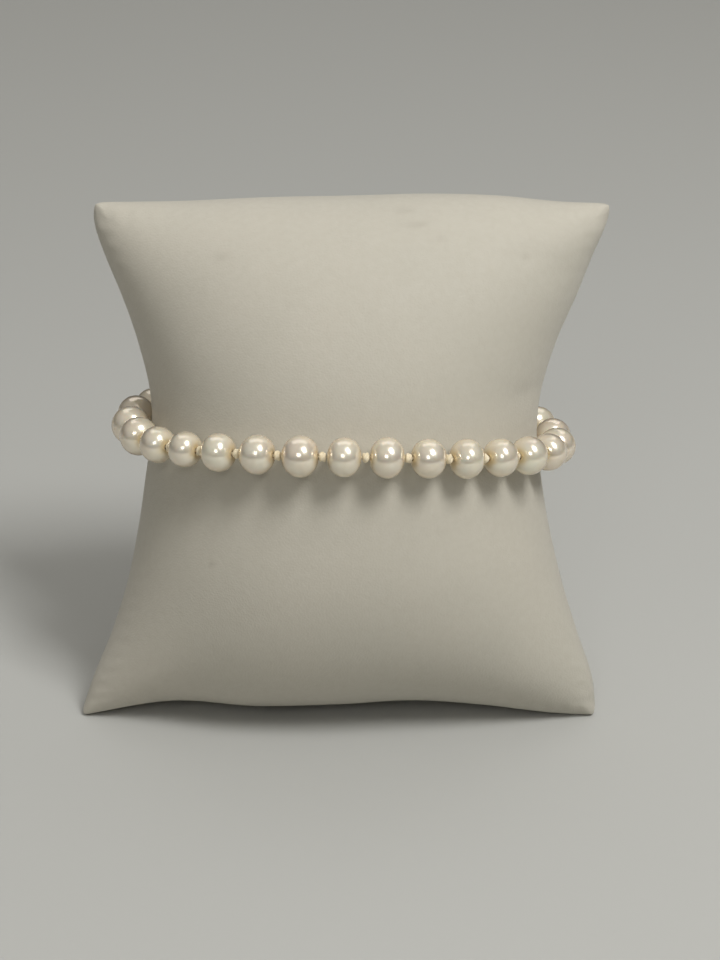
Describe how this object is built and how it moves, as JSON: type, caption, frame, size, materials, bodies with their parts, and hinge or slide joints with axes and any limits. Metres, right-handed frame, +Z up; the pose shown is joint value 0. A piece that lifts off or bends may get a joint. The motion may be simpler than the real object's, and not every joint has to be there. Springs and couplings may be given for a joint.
{
  "type": "pearl bracelet on display pillow",
  "caption": "Knotted strand of slightly off-round white pearls, fastened as a bracelet round a small padded leatherette display pillow that leans back on its underside.",
  "frame": {"origin": "middle of the whole object's footprint, on the surface that the pillow sits on", "axes": "+Z up, the front of the pillow and the middle of the strand face -Y, +X to the right seen from the front"},
  "size_m": [0.0898, 0.0572, 0.0866],
  "materials": {
    "pearl_nacre": "satin-gloss creamy white nacre with a faint pink and green overtone",
    "silk": "matte cream silk cord, tied in a knot after each pearl",
    "clasp_gold": "polished yellow gold",
    "pillow_leatherette": "matte fine-grained off-white leatherette, slightly soiled"
  },
  "bodies": {
    "root": {"display_pillow": "pillow_leatherette", "silk_thread": "silk", "clasp": "clasp_gold", "pearl_01": "pearl_nacre", "pearl_02": "pearl_nacre", "pearl_03": "pearl_nacre", "pearl_04": "pearl_nacre", "pearl_05": "pearl_nacre", "pearl_06": "pearl_nacre", "pearl_07": "pearl_nacre", "pearl_08": "pearl_nacre", "pearl_09": "pearl_nacre", "pearl_10": "pearl_nacre", "pearl_11": "pearl_nacre", "pearl_12": "pearl_nacre", "pearl_13": "pearl_nacre", "pearl_14": "pearl_nacre", "pearl_15": "pearl_nacre", "pearl_16": "pearl_nacre", "pearl_17": "pearl_nacre", "pearl_18": "pearl_nacre", "pearl_19": "pearl_nacre", "pearl_20": "pearl_nacre", "pearl_21": "pearl_nacre", "pearl_22": "pearl_nacre", "pearl_23": "pearl_nacre", "pearl_24": "pearl_nacre", "pearl_25": "pearl_nacre", "pearl_26": "pearl_nacre", "pearl_27": "pearl_nacre"}
  },
  "joints": []
}
